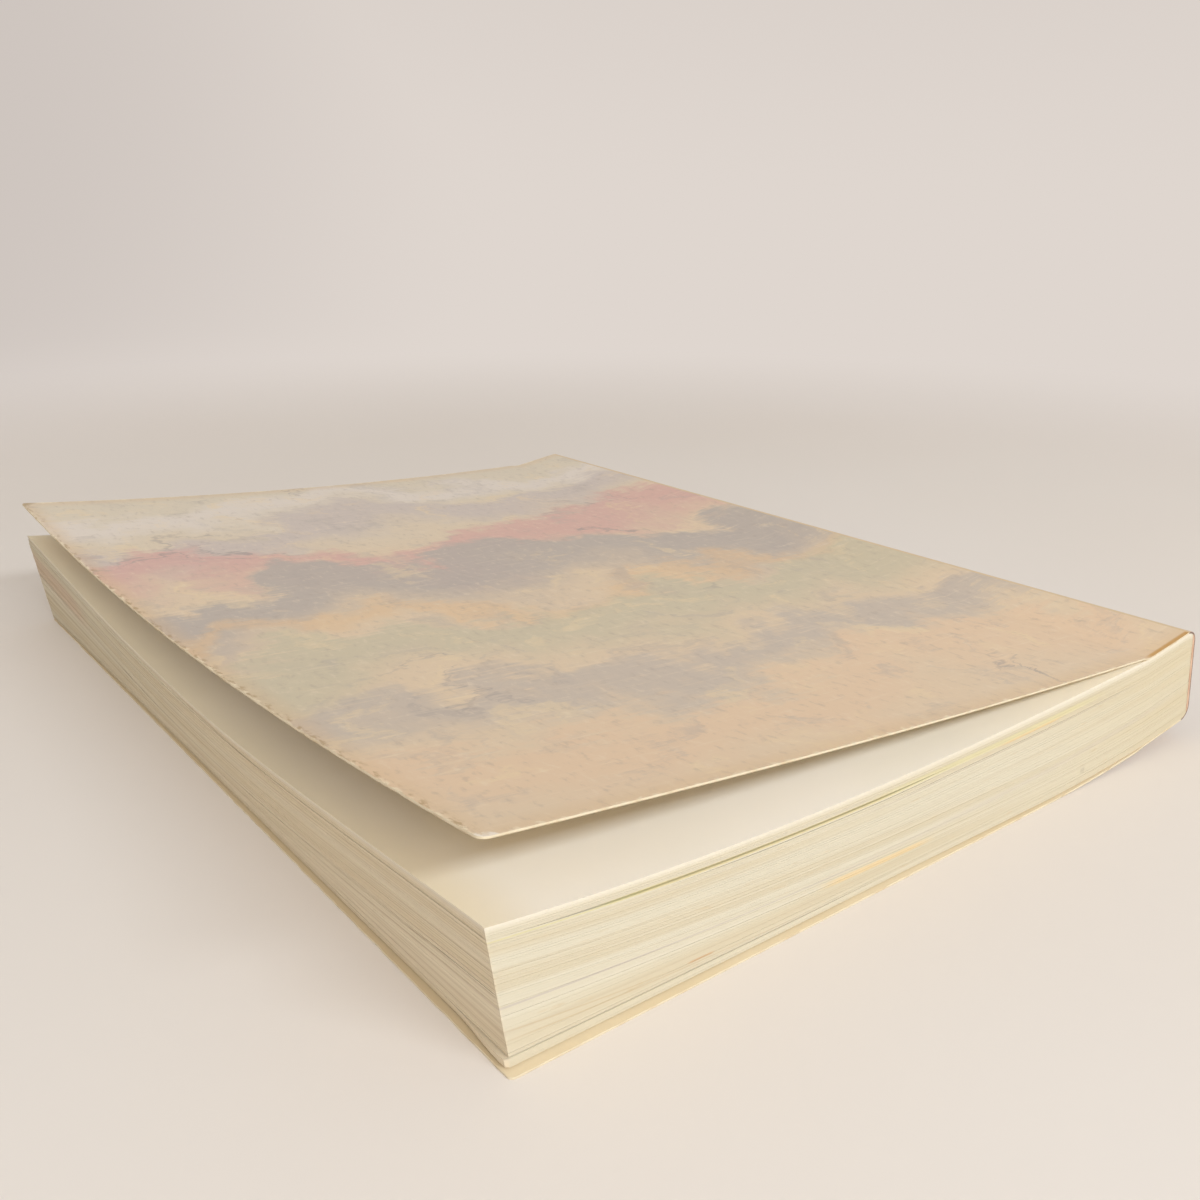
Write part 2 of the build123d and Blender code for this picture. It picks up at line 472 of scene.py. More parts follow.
# %% First page, last page and the whole block
def framed(grid, rim):
    """The grid of an end leaf, with its four sides taken from a row of the ring."""
    rim = np.concatenate([rim, rim[:1]])
    near, far, head_end = np.cumsum([len(side) for side in sides[:3]])
    grid[0], grid[:, 0] = rim[near::-1], rim[near : far + 1]
    grid[-1], grid[:, -1] = rim[far : head_end + 1], rim[: head_end - 1 : -1]
    return grid


def end_leaf(layer, rim):
    """Grid of the leaf at this layer, with a row of the ring for its rim."""
    b, a = np.meshgrid(along, across, indexing="ij")
    return framed(leaf_points(a, b, layer, 0.0), rim)


first_page = end_leaf(1.0, side_points[-1])
last_page = end_leaf(0.0, side_points[0])
print("first page grid", first_page.shape[:2])

# %% [markdown]
# ## The cover, one thin card
#
# A paperback's cover is a single sheet, glued round the spine and to a strip of the outer
# leaves, and creased where those strips end. Each length of it here is a shell: a grid for
# the printed face, the same grid half a millimetre in for the plain face, and a rim that
# bulges a little. Wear is in the shape as well: the grid is pulled in at the corners and
# nibbled along the free edge.


# %% Shell of a card
def outward_steps(grid):
    """For each point of the rim, a unit step away from its neighbour further in."""
    step = np.zeros_like(grid)
    step[0] += unit(grid[0] - grid[1])
    step[-1] += unit(grid[-1] - grid[-2])
    step[:, 0] += unit(grid[:, 0] - grid[:, 1])
    step[:, -1] += unit(grid[:, -1] - grid[:, -2])
    return step


def unit(vectors):
    """The vectors, each divided by its length."""
    return vectors / np.linalg.norm(vectors, axis=-1, keepdims=True)


def rim_of(grid):
    """The points round a grid, in order, ending where they start."""
    return np.concatenate([grid[0], grid[1:, -1], grid[-1, -2::-1], grid[-2::-1, 0]])


def card_shell(name, outer, inner, place, finishes, bulge=0.06):
    """A closed shell: printed face, plain face, and a rim of three narrow bands between them."""
    steps = outward_steps((outer + inner) / 2) * bulge
    upper, lower = (outer + (inner - outer) * share + steps for share in (0.2, 0.8))
    bands = [rim_of(layer) for layer in (outer, upper, lower, inner)]
    numbers = numbered(outer)
    band_numbers = 2 * numbers.size + np.arange(4 * len(bands[0])).reshape(4, -1)
    number_grids = (numbers, numbers + numbers.size, band_numbers)
    places = flattened(place, place, *[rim_of(place)] * len(bands))
    points = flattened(outer, inner, *bands)
    return make_piece(name, points, number_grids, places, finishes, worn=(0, 1, 2))


# %% Worn outline of a card
q_line = graded(2 * half_length, 2.2, 0.12)


def worn_grid(length, corner_rounds, nibble=0.1, nibble_reach=1.2):
    """Distances (p from the free edge, q from the tail) on a card, pulled in where it is worn.

    A corner's square of side r is squeezed into a quarter disc: both distances from its inner
    corner are multiplied by the larger and divided by their length together."""
    p_line = graded(length, 1.6, 0.12)
    q, p = np.meshgrid(q_line, p_line, indexing="ij")
    free_edge = nibble * np.abs(wander(q_line, [3.1, 7.3, 17, 41]))
    for at_head, size in enumerate(corner_rounds):
        from_end = 2 * half_length - q if at_head else q
        deep_p = np.clip(size - p, 0, size)
        deep_q = np.clip(size - from_end, 0, size)
        reach = np.hypot(deep_p, deep_q)
        squeeze = np.divide(np.maximum(deep_p, deep_q), reach, out=np.ones_like(p), where=reach > 0)
        p = np.where(reach > 0, p + deep_p * (1 - squeeze), p)
        turned = deep_q * (1 - squeeze)
        q = q - turned if at_head else q + turned
    p = p + free_edge[:, None] * np.exp(-p / nibble_reach)
    return p, q


# %% [markdown]
# ## The front cover
#
# It stands ajar: lifted most at the near corner, less at the far one and least between them.
# Its height over the fold is a straight slope mixed with a square, and the mix changes from
# tail to head. Between the panel and the strip glued to the first leaf the two heights are
# eased into each other, so that the crease is a bend and not a break.

# %% Front cover's surface
edge_x = front_low[0]
panel_width = front_fold[0] - edge_x
lift_tail, lift_middle, lift_head = 17.7, 7.9, 12.7
bow_tail, bow_head = 0.3, 0.8
crease, crease_start = 2.5, 1.0


def cover_rise(share, station):
    """Lift times a mix of share and its square: lift is a square along the book, mix a line."""
    slope = (lift_head - lift_tail) / 2
    bend = (lift_head + lift_tail) / 2 - lift_middle
    lift = lift_middle + slope * station + bend * station**2
    bow = (bow_tail + bow_head) / 2 + (bow_head - bow_tail) / 2 * station
    return lift * ((1 - bow) * share + bow * share**2)


def past_fold(fold, x):
    """0 on the strip and 1 on the panel, eased across the fold."""
    return eased((fold[0] + crease_start - x) / (2 * crease))


def front_plain(x, station):
    """Height of the front card's plain face."""
    strip = strip_line(front_score, front_strip_fall, x)
    share = (front_fold[0] - x) / panel_width
    panel = front_score[1] + cover_gap + cover_rise(share, station)
    return strip + (panel - strip) * past_fold(front_fold, x)


def back_plain(x, _station):
    """Height of the back card's plain face, a hair below the last leaf."""
    return last_leaf(x) - cover_gap * past_fold(back_fold, x)


def faced(x, z, side):
    """Points a card's thickness over (side 1) or under (-1) the line z over x, square to it."""
    slope = np.gradient(z, axis=1) / np.gradient(x, axis=1)
    length = np.sqrt(1 + slope**2)
    return x - side * card * slope / length, z + side * card / length


# %% Seams at the rounded corners of the spine
def direction(start, end):
    """Unit step from one point of the section to another."""
    return (end - start) / np.linalg.norm(end - start)


front_way = direction(front_score, high_corner)
down_way = direction(high_corner, low_corner)
back_way = direction(low_corner, back_score)
turn_front = math.acos(front_way @ down_way)
turn_back = math.acos(down_way @ back_way)
front_seam = high_corner - front_way * spine_round * math.tan(turn_front / 2)
run_end = low_corner - down_way * (spine_round * math.tan(turn_back / 2))
back_seam = low_corner + back_way * spine_round * math.tan(turn_back / 2)
print("seams at", front_seam.round(2), back_seam.round(2))

# %% [markdown]
# ## The spine and the back cover
#
# Seen from the tail, the spine is an arc, a straight run and an arc. Its card keeps one
# thickness if each point is the centre of an arc plus a radius times the direction that
# looks outwards, which turns from the way of the strip to the way of the spine. The back
# cover follows the last leaf a hair below it, and lies flat on the table.


# %% Spine profile
def square_to(way):
    """The direction that looks out of the book, a quarter turn left of the way round it."""
    return np.array([-way[1], way[0]])


def spine_profile(height, steps=14):
    """Points of the arc, the run and the arc at this height over the spine's inner face."""
    share = np.linspace(0, 1, steps)[:, None]
    arcs = []
    for start, *ways in ((front_seam, front_way, down_way), (run_end, down_way, back_way)):
        first, last = (square_to(way) for way in ways)
        turn = math.acos(first @ last)
        out = (np.sin((1 - share) * turn) * first + np.sin(share * turn) * last) / math.sin(turn)
        arcs.append(start - first * spine_round + out * (spine_round + height))
    run = np.linspace(arcs[0][-1], arcs[1][0], 12)[1:-1]
    return np.concatenate([arcs[0], run, arcs[1]])


spine_inner = spine_profile(0)
spine_outer = spine_profile(card)
print("spine from", spine_outer[0].round(1), "to", spine_outer[-1].round(1))

# %% The three lengths of the card as grids
rim_room = 0.07


def with_y(x, z, q):
    """Points of a grid from its x, its z and its distance q from the tail. The faces end a
    little inside the frame, so that the bulge of the rim ends on it."""
    return np.stack([x, (q - half_length) * (1 - rim_room / half_length), z], axis=-1)


def panel_grids(free_x, seam, corner_rounds, plain_height, side):
    """Printed face, plain face and place of a cover with its strip."""
    p, q = worn_grid(seam[0] - free_x, corner_rounds)
    x = free_x + p
    z = plain_height(x, q / half_length - 1)
    place = np.stack([trim_width - p, q, 0 * p], axis=-1)
    return with_y(*faced(x, z, side), q), with_y(x, z, q), place


def spine_grids():
    """Printed face, plain face and place of the spine."""
    faces = []
    for profile in (spine_outer, spine_inner):
        x, q = np.meshgrid(profile[:, 0], q_line)
        faces.append(with_y(x, np.broadcast_to(profile[:, 1], x.shape), q))
    run = np.concatenate([[0], np.cumsum(np.linalg.norm(np.diff(spine_outer, axis=0), axis=1))])
    run, q = np.meshgrid(run, q_line)
    return *faces, np.stack([run, q, 0 * q], axis=-1)

# %% [markdown]
# ## Finishes
#
# All colours are procedural: noise, bands and soft masks, on the place attribute where the
# pattern has to follow the sheet. One small class keeps the node code readable. A colour is
# written as the eye knows it, from 0 to 255, and turned into the light that Blender works
# with.

# %% Node helpers
def paint(red, green, blue):
    """Linear colour of an 8-bit one: the sRGB curve, a power of 2.4 with a short straight foot."""
    parts = np.array([red, green, blue]) / 255
    curve = np.where(parts <= 0.04045, parts / 12.92, ((parts + 0.055) / 1.055) ** 2.4)
    return (*curve.tolist(), 1.0)


class Nodes:
    """A node tree being wired up, with short names for the nodes that it needs."""

    def __init__(self, tree):
        self.tree = tree

    def add(self, kind, values=(), **settings):
        """A node of this kind. values fills its sockets, by name or number."""
        node = self.tree.nodes.new(kind)
        for key, value in settings.items():
            setattr(node, key, value)
        for key, value in dict(values).items():
            if isinstance(value, bpy.types.NodeSocket):
                self.tree.links.new(value, node.inputs[key])
            else:
                node.inputs[key].default_value = value
        return node

    def place(self):
        """Sockets u and v: where a point is on its flat sheet, in millimetres."""
        where = self.add("ShaderNodeAttribute", attribute_name="place").outputs["Vector"]
        return self.add("ShaderNodeSeparateXYZ", {0: where}).outputs[:2]

    def whereabouts(self):
        """Where a point is on the whole book, in metres: the place itself, then x, y and z."""
        where = self.add("ShaderNodeTexCoord").outputs["Object"]
        return where, *self.add("ShaderNodeSeparateXYZ", {0: where}).outputs[:3]

    def vector(self, x, y, z=0.0):
        """A vector from three numbers or sockets."""
        return self.add("ShaderNodeCombineXYZ", {0: x, 1: y, 2: z}).outputs[0]

    def sum(self, operation, a, b=0.0, c=0.0):
        """One sum, in Blender's name for it."""
        return self.add("ShaderNodeMath", {0: a, 1: b, 2: c}, operation=operation).outputs[0]

    def noise(self, vector, scale=1.0, detail=2.0, rough=0.5):
        """Noise from 0 to 1, about 0.5."""
        values = {"Vector": vector, "Scale": scale, "Detail": detail, "Roughness": rough}
        return self.add("ShaderNodeTexNoise", values).outputs[0]

    def streaks(self, u, v, per_u, per_v, seed=0.0, **look):
        """Noise with its own number of features to a millimetre along u and along v."""
        place = self.vector(self.sum("MULTIPLY", u, per_u), self.sum("MULTIPLY", v, per_v), seed)
        return self.noise(place, **look)

    def pushed(self, value, noise, size, middle=0.5):
        """A value moved by size times what a noise is over its middle."""
        return self.sum("MULTIPLY_ADD", self.sum("SUBTRACT", noise, middle), size, value)

    def rims(self, u, v):
        """How far a point of the card is from the nearer end of the book and the free edge."""
        to_end = self.sum("MINIMUM", v, self.sum("SUBTRACT", 2 * half_length, v))
        return to_end, self.sum("SUBTRACT", trim_width, u)

    def soft(self, value, low, high, top=1.0):
        """0 below low, top above high, eased between them. low may be the larger."""
        values = {"Value": value, "From Min": low, "From Max": high, "To Max": top}
        node = self.add("ShaderNodeMapRange", values, interpolation_type="SMOOTHSTEP")
        return node.outputs["Result"]

    def band(self, value, middle, half_width, edge):
        """1 within half_width of middle, and eased to 0 over edge outside it."""
        away = self.sum("ABSOLUTE", self.sum("SUBTRACT", value, middle))
        return self.soft(away, half_width + edge, half_width)

    def both(self, *masks):
        """Masks multiplied together."""
        total = masks[0]
        for mask in masks[1:]:
            total = self.sum("MULTIPLY", total, mask)
        return total

    def coats(self, colour, *coats):
        """Tints laid on a colour one after another, each where its mask lets it. A coat is a
        mask and a tint, or what soft needs for the mask and a tint."""
        for *where, tint in coats:
            mask = self.soft(*where) if len(where) > 1 else where[0]
            values = {0: mask, 6: colour, 7: paint(*tint)}
            colour = self.add("ShaderNodeMix", values, data_type="RGBA").outputs[2]
        return colour

    def seen(self):
        """1 for a ray from the camera, or one mirrored or let through on its way, and else 0."""
        path = self.add("ShaderNodeLightPath").outputs
        seen = self.sum("MAXIMUM", path["Is Camera Ray"], path["Is Glossy Ray"])
        return self.sum("MAXIMUM", seen, path["Is Transmission Ray"])


class Finish(Nodes):
    """A material being wired up."""

    def __init__(self, name, roughness, specular=0.3):
        self.material = bpy.data.materials.new(name)
        self.material.use_nodes = True
        super().__init__(self.material.node_tree)
        self.shader = self.tree.nodes["Principled BSDF"]
        self.shader.inputs["Roughness"].default_value = roughness
        self.shader.inputs["Specular IOR Level"].default_value = specular

    def finish(self, colour, height, depth):
        """Plugs in the colour, and a height whose bumps are depth millimetres."""
        self.tree.links.new(colour, self.shader.inputs["Base Color"])
        values = {"Strength": 1.0, "Distance": depth * mm, "Height": height}
        bump = self.add("ShaderNodeBump", values)
        self.tree.links.new(bump.outputs[0], self.shader.inputs["Normal"])
        return self.material

# %% [markdown]
# ## Paper
#
# The trimmed edge of a book is hundreds of hairlines, cream where the light gets between
# the fibres and tan where dust settled. Noises do it, stretched far along the leaves and
# squeezed across them. On top lie marks, given as a list: this copy's yellowed streak, an
# orange one and a few grey lines, and painted shade: grey lines under the second gap and dark
# lines along the fore edge, where the bundles part. Each has two ends, a size, a strength and a
# tint.
# An end is a distance from the near corner, negative along the fore edge, and a layer.

# %% Trimmed edges of the leaves
layer_scale = 20.0
cream, warm_cream = (207, 198, 176), (203, 191, 165)
pale_line, tan_line = (215, 207, 189), (183, 166, 139)


def marked(paper, colour, run, layer, mark):
    """The colour with one mark on it: a sloping line, as wide as its size and soft all round."""
    (start, low), (end, high), size, strength, tint = mark
    first, last = near_corner_run - start, near_corner_run - end
    middle, length = (first + last) / 2, abs(first - last)
    slope = {"From Min": first, "From Max": last}
    slope |= {"To Min": low * layer_scale, "To Max": high * layer_scale}
    line = paper.add("ShaderNodeMapRange", {"Value": run, **slope}).outputs["Result"]
    along_mark = paper.band(run, middle, length * 0.3, length * 0.25)
    over_mark = paper.band(paper.sum("SUBTRACT", layer, line), 0, size * 0.35, size * 0.5)
    shown = paper.sum("MULTIPLY", paper.both(along_mark, over_mark), strength)
    return paper.coats(colour, (shown, tint))


def leaf_edge_finish():
    """Cream edges of leaves: broad soft bands, thin lines, hairlines, the listed stains and painted
    shade lines, and then what is the fore edge's own: lighter, warmer colour near the tail, and
    darker thin lines, which are dust and painted shade between the uneven leaves. Last, a painted
    highlight whitens the edges of the top bundles."""
    paper = Finish("leaf_edges", roughness=0.9, specular=0.12)
    run, layer = paper.place()
    broad = paper.streaks(run, layer, 0.006, 0.28, 3.0, detail=1.0)
    thin = paper.streaks(run, layer, 0.0035, 2.3, 7.0)
    hair = paper.streaks(run, layer, 0.005, 6.0, 1.0)
    spots = paper.streaks(run, layer, 0.11, 1.1, 5.0, detail=4.0)
    colour = paper.coats(
        paint(*cream),
        (broad, 0.35, 0.65, warm_cream),
        (thin, 0.48, 0.30, 0.35, pale_line),
        (thin, 0.54, 0.72, 0.25, tan_line),
        (hair, 0.55, 0.75, 0.25, tan_line),
        (spots, 0.62, 0.74, 0.3, (196, 166, 122)),
        (run, near_corner_run - 120, near_corner_run - 225, 0.4, (203, 186, 150)),
    )
    for mark in stains_and_shade_lines:
        colour = marked(paper, colour, run, layer, mark)
    fore_edge = paper.both(
        paper.soft(run, near_corner_run - 0.6, near_corner_run + 0.6),
        paper.soft(run, far_corner_run + 0.6, far_corner_run - 0.6),
    )
    # lighter, warmer colour along the fore edge towards the tail corner
    near_tail = paper.soft(run, far_corner_run, near_corner_run + 60, 0.30)
    # darker thin lines on the fore edge: dust, and painted shade between the uneven leaves
    dust_and_shade = paper.soft(thin, 0.46, 0.66, 0.30)
    colour = paper.coats(
        colour,
        (paper.both(fore_edge, near_tail), (248, 226, 194)),
        (paper.both(fore_edge, dust_and_shade), (160, 136, 108)),
        # painted highlight: the edges of the top bundles are painted whiter, as if lit
        (layer, 0.92 * layer_scale, 0.995 * layer_scale, 0.75, (230, 221, 203)),
    )
    return paper.finish(colour, paper.sum("ADD", hair, thin), depth=0.05)


stains_and_shade_lines = [
    ((-6, 0.84), (40, 0.885), 0.25, 0.60, (206, 196, 140)),
    ((24, 0.869), (104, 0.869), 0.35, 0.65, (208, 192, 138)),
    ((88, 0.885), (176, 0.875), 0.90, 0.40, (212, 202, 140)),
    ((132, 0.85), (158, 0.85), 0.40, 0.45, (222, 186, 126)),
    # painted shade: grey lines just under the second gap between bundles
    ((80, 0.785), (194, 0.79), 0.14, 0.50, (166, 152, 140)),
    ((24, 0.785), (58, 0.785), 0.14, 0.35, (176, 162, 146)),
    ((78, 0.50), (128, 0.51), 0.12, 0.35, (178, 164, 148)),
    ((-20, 0.22), (100, 0.27), 0.14, 0.50, (176, 163, 158)),
    ((70, 0.255), (215, 0.41), 0.80, 0.32, (196, 183, 168)),
    ((74, 0.205), (110, 0.205), 0.70, 0.55, (224, 192, 134)),
    ((39, 0.105), (46, 0.105), 0.18, 0.55, (196, 150, 108)),
    ((166, 0.14), (168, 0.14), 0.90, 0.35, (160, 150, 130)),
    ((-4, 0.12), (70, 0.07), 0.10, 0.40, (184, 160, 126)),
    ((-4, 0.155), (40, 0.10), 0.10, 0.35, (184, 160, 126)),
    # painted shade: dark lines along the fore edge, in the gaps between bundles
    ((2, 0.79), (-60, 0.81), 0.30, 0.40, (146, 122, 94)),
    ((-46, 0.80), (-165, 0.96), 0.35, 0.40, (146, 124, 96)),
    ((-24, 0.68), (-62, 0.68), 0.15, 0.30, (146, 122, 94)),
    ((2, 0.33), (-34, 0.275), 0.12, 0.60, (132, 108, 84)),
    ((-22, 0.28), (-112, 0.41), 0.12, 0.50, (140, 116, 90)),
    ((2, 0.235), (-70, 0.225), 0.12, 0.60, (132, 108, 84)),
    ((-24, 0.165), (-66, 0.16), 0.10, 0.50, (140, 116, 90)),
    ((-106, 0.555), (-172, 0.57), 0.22, 0.40, (140, 122, 94)),
    ((-225, 0.5), (-300, 0.5), 7.00, 0.30, (204, 162, 142)),
]
edge_paper = leaf_edge_finish()
print("marks on the leaves:", len(stains_and_shade_lines))

# %% Page paper and glue
def page_finish():
    """Off-white paper with a cloudy fibre, yellowed along the fore edge, and painted lighter and
    warmer towards the spine, as painted light.
    """
    paper = Finish("page_paper", roughness=0.85, specular=0.15)
    where, x, _, _ = paper.whereabouts()
    cloud = paper.noise(where, scale=18.0, detail=3.0)
    fibre = paper.noise(where, scale=900.0)
    colour = paper.coats(
        paint(244, 237, 225),
        (cloud, 0.3, 0.7, (240, 233, 218)),
        (x, -94 * mm, -109 * mm, 0.7, (234, 218, 184)),
        # painted light: lighter, warmer paper towards the spine
        (x, 0.0, 80 * mm, 0.9, (250, 238, 212)),
    )
    return paper.finish(colour, fibre, depth=0.015)


def glue_finish():
    """Hot-melt adhesive, dull pinkish brown and slightly lumpy."""
    adhesive = Finish("binding_adhesive", roughness=0.5, specular=0.4)
    lumps = adhesive.noise(adhesive.whereabouts()[0], scale=240.0, detail=3.0)
    darker = (lumps, 0.3, 0.7, (196, 156, 128))
    return adhesive.finish(adhesive.coats(paint(214, 178, 150), darker), lumps, depth=0.15)


page_paper = page_finish()
binding_adhesive = glue_finish()
print("paper and glue are ready")

# %% Plain side and cut edges of the card
def plain_card_finish():
    """Uncoated inner side of the cover: warm white, finely grained, browned along its rim, and
    browner still by the free edge: grime, and painted shade where the leaves overhang it.
    """
    board = Finish("plain_card", roughness=0.8, specular=0.2)
    u, v = board.place()
    cloud = board.streaks(u, v, 0.02, 0.02, detail=3.0)
    grain = board.streaks(u, v, 0.02, 0.02, scale=60.0)
    to_end, to_free = board.rims(u, v)
    # grime and painted shade along the free edge, where the ledge lies under the leaves
    grime_and_shade = board.both(board.soft(to_free, 4.0, 1.0, 0.7), board.soft(v, 1.0, 5.0))
    colour = board.coats(
        paint(232, 217, 188),
        (cloud, 0.3, 0.7, (224, 206, 172)),
        (board.sum("MINIMUM", to_end, to_free), 9, 0, 0.5, (216, 194, 156)),
        (grime_and_shade, (196, 174, 138)),
    )
    return board.finish(colour, grain, depth=0.03)


def cut_edge_finish():
    """The trimmed edge of the card: bare cream fibre, soiled here and there."""
    board = Finish("card_cut_edge", roughness=0.9, specular=0.1)
    soil = board.streaks(*board.place(), 0.15, 0.15, detail=4.0)
    soiled = (soil, 0.45, 0.75, 0.8, (194, 170, 132))
    return board.finish(board.coats(paint(216, 202, 174), soiled), soil, depth=0.08)


def dark_edge_finish():
    """The spine's trimmed edge, where the dark print has soaked round the corner."""
    board = Finish("spine_cut_edge", roughness=0.8, specular=0.15)
    blotch = board.streaks(*board.place(), 0.4, 0.4)
    paler = (blotch, 0.35, 0.65, (150, 128, 112))
    return board.finish(board.coats(paint(126, 106, 96), paler), blotch, depth=0.05)


plain_card = plain_card_finish()
cut_edge = cut_edge_finish()
dark_edge = dark_edge_finish()
print("card is ready")

# %% [markdown]
# ## The printed side
#
# The cover carries a painterly picture in hazy, sun-bleached colours, seen through a worn
# lamination. What is painted here is a made-up one: misty hills, one ridge behind another.
# A ridge is everything nearer to the tail than a wandering line, and it fades downhill into
# the next valley's mist. Noise pushes the coordinates about, so that every outline looks
# brushed, and a dry-brush grain runs across everything.


# %% Printed finish
def printed_finish(name, draw, grain=1.0, stained_edge=0.0):
    """Laminated print: a picture from draw, dry-brush grain, and wear along the rims.

    The wear is a browned rim, white chips where the rim is ragged, brown specks by the free
    edge, a white near corner and a dark far one, and glue that stained the tail by the fold."""
    ink = Finish(name, roughness=0.44)
    u, v = ink.place()

    def strokes(per_u, per_v, seed, detail):
        return ink.streaks(u, v, per_u, per_v, seed, detail=detail, rough=0.6)

    brush, hatch = strokes(0.06, 0.75, 2.0, 4.0), strokes(0.5, 0.22, 4.0, 3.0)
    bent_u = ink.pushed(u, strokes(0.021, 0.021, 0.0, 4.0), 70.0)
    bent_v = ink.pushed(v, strokes(0.021, 0.021, 9.0, 4.0), 80.0)
    colour = draw(ink, bent_u, ink.pushed(bent_v, brush, 14.0), brush)
    to_end, to_free = ink.rims(u, v)
    rim = ink.sum("MINIMUM", to_end, to_free)
    chips, specks = strokes(0.30, 0.30, 6.0, 5.0), strokes(0.8, 0.3, 7.0, 4.0)
    chipped = ink.soft(ink.pushed(rim, chips, -6.0, middle=0.60), 1.2, 0.2, 0.65)
    specked = ink.both(ink.soft(to_free, 2.4, 0.5), ink.soft(specks, 0.48, 0.64, 0.65))
    to_near_corner = ink.sum("ADD", to_free, ink.sum("MULTIPLY_ADD", chips, 9.0, v))
    to_far_corner = ink.sum("ADD", to_free, ink.sum("SUBTRACT", 2 * half_length, v))
    colour = ink.coats(
        colour,
        (brush, 0.53, 0.75, 0.30 * grain, (230, 211, 184)),
        (hatch, 0.54, 0.74, 0.34 * grain, (166, 148, 134)),
        (hatch, 0.46, 0.26, 0.30 * grain, (232, 214, 188)),
        (rim, 7.0, 0.5, 0.35, (212, 178, 134)),
        (chipped, (238, 222, 192)),
        (specked, (158, 126, 78)),
        (to_near_corner, 8.0, 6.5, 0.85, (238, 226, 210)),
        (to_far_corner, 5.5, 2.5, 0.8, (168, 144, 108)),
    )
    if stained_edge:
        glue_stain = ink.both(ink.soft(v, 1.5, 0.7), ink.soft(u, 23.0, 19.0, stained_edge))
        colour = ink.coats(colour, (glue_stain, (188, 138, 66)))
    return ink.finish(colour, brush, depth=0.03)


def misty_hills(ink, u, v, _brush):
    """Front picture, from the far ridge to the near one: (line, swing, reach, strength, tint).

    The crest is the line with a noise's swing on it, and the ridge fades out a reach below.
    Each ridge is mottled with a darker and a lighter dab of its own tint, and over them all
    run a few creeks: the thin lines where a broad noise passes through its middle value."""
    colour = ink.coats(paint(218, 194, 164), (v, 150, 270, (214, 200, 178)))
    for number, (line, swing, reach, strength, tint) in enumerate(ridges):
        sway = ink.noise(ink.vector(ink.sum("MULTIPLY", u, 0.013), 3.7 * number), detail=5.0)
        below = ink.sum("SUBTRACT", ink.pushed(line, sway, swing), v)
        fading = ink.soft(below, reach, reach * 0.3, strength)
        colour = ink.coats(colour, (ink.both(ink.soft(below, -5.0, 6.0), fading), tint))
    dabs = ink.streaks(u, v, 0.055, 0.055, 5.0, detail=5.0, rough=0.65)
    vale = ink.streaks(u, v, 0.011, 0.011, 2.0)
    creek = ink.band(ink.streaks(u, v, 0.017, 0.017, 8.0, detail=3.0), 0.5, 0.003, 0.005)
    shown = ink.both(creek, ink.soft(vale, 0.52, 0.60), ink.soft(dabs, 0.40, 0.55, 0.55))
    return ink.coats(
        colour,
        (dabs, 0.53, 0.68, 0.40, (172, 160, 152)),
        (dabs, 0.45, 0.33, 0.45, (230, 206, 166)),
        (shown, (150, 138, 134)),
    )


ridges = [
    (262, 80, 30, 0.70, (224, 212, 202)),
    (240, 110, 40, 0.75, (196, 182, 176)),
    (204, 130, 50, 0.85, (210, 166, 155)),
    (170, 140, 66, 0.92, (180, 168, 158)),
    (128, 110, 18, 0.55, (224, 186, 140)),
    (114, 120, 56, 0.85, (197, 185, 158)),
    (66, 100, 28, 0.75, (187, 174, 162)),
    (46, 90, 46, 0.90, (222, 192, 160)),
]
front_print = printed_finish("printed_front", misty_hills, stained_edge=0.85)
print("ridges:", len(ridges))


# %% Print of the spine and of the back
def dusk(ink, _u, _v, brush):
    """Spine picture: one plain mauve-grey field, and the front's ground round the corner."""
    run = ink.place()[0]
    mauve = (brush, 0.3, 0.7, (150, 128, 120))
    return ink.coats(paint(132, 112, 112), mauve, (run, 5.5, 3.5, (210, 184, 146)))


def haze(ink, _u, v, _brush):
    """Back picture: the front's ground with a duller far end."""
    return ink.coats(paint(216, 192, 160), (v, 90, 200, (204, 184, 158)))


spine_print = printed_finish("printed_spine", dusk, grain=0.2)
back_print = printed_finish("printed_back", haze)
print("spine and back are ready")

# %% [markdown]
# ## Putting the book together
#
# Each piece stands for its solid, which is hidden. The leaves and the spine hang on the body
# of the bound leaves; the front and back sheets stay where they lie. Their strips lie on the
# leaves, their panels stand off at the folds, and the few millimetres between turn smoothly.

# %% The leaves
ring_numbers = numbered(side_points)
top_numbers = numbered(first_page, ring_numbers.size)
bottom_numbers = numbered(last_page, ring_numbers.size + top_numbers.size)
ring_numbers = np.concatenate([ring_numbers, ring_numbers[:, :1]], axis=1)
ring_place = np.stack(np.broadcast_arrays(ring_run, layer_rows * layer_scale, 0.0), axis=-1)
page_places = [framed(0 * first_page, ring_place[-1]), framed(0 * last_page, ring_place[0])]
leaf_block = make_piece(
    "leaf_block",
    flattened(side_points, first_page, last_page),
    (ring_numbers, top_numbers, bottom_numbers),
    flattened(ring_place, *page_places),
    [edge_paper, page_paper],
    worn=(0, 1, 1),
)
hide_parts("text_block")
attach(leaf_block, "bound_leaves")

# %% The cover
front_grids = panel_grids(edge_x, front_seam, (1.9, 1.3), front_plain, 1)
back_grids = panel_grids(fore_x, back_seam, (1.2, 1.5), back_plain, -1)
front_sheet = card_shell("front_sheet", *front_grids, [front_print, plain_card, cut_edge])
spine_sheet = card_shell("spine_sheet", *spine_grids(), [spine_print, plain_card, dark_edge])
back_sheet = card_shell("back_sheet", *back_grids, [back_print, plain_card, cut_edge])
covers = [(front_sheet, "front_cover"), (spine_sheet, "cover_spine"), (back_sheet, "back_cover")]
for sheet, node in covers:
    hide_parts(node)
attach(spine_sheet, "bound_leaves")
panels = [(front_sheet, "front_panel", front_fold), (back_sheet, "back_panel", back_fold)]
for sheet, panel, fold in panels:
    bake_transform(sheet)

